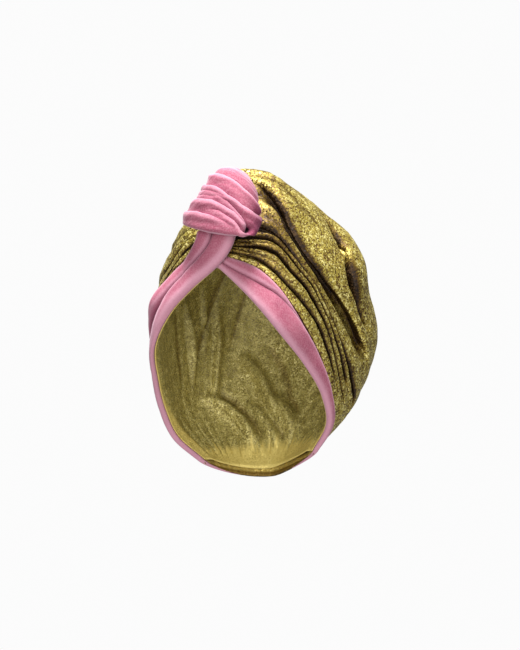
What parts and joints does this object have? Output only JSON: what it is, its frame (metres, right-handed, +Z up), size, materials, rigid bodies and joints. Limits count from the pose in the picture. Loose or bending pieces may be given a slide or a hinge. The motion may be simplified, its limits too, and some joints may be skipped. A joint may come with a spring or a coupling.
{
  "type": "turban",
  "caption": "Worn head wrap turban: pleated gold lamé crown swept from a front knot over the head, pink velvet face bands crossing under the knot, thin lining, gathered nape casing.",
  "frame": {"origin": "the point inside the lining where the top of the wearer's head sits", "axes": "+Z up through the crown of the head, the forehead looks along -Y, and +X is the wearer's left"},
  "size_m": [0.1921, 0.2236, 0.2453],
  "materials": {
    "gold_lame": "glittering gold lamé cloth with dark creases",
    "lining_lame": "wrong side of the gold lamé: muted olive with a fine speckle, smoother and brighter at its facing",
    "pink_velvet": "short-pile pink velvet with a pale sheen on its edges"
  },
  "bodies": {
    "root": {"crown": "gold_lame", "nape_casing": "gold_lame", "lining": "lining_lame", "knot": "pink_velvet", "band_left": "pink_velvet", "band_right": "pink_velvet"}
  },
  "joints": []
}
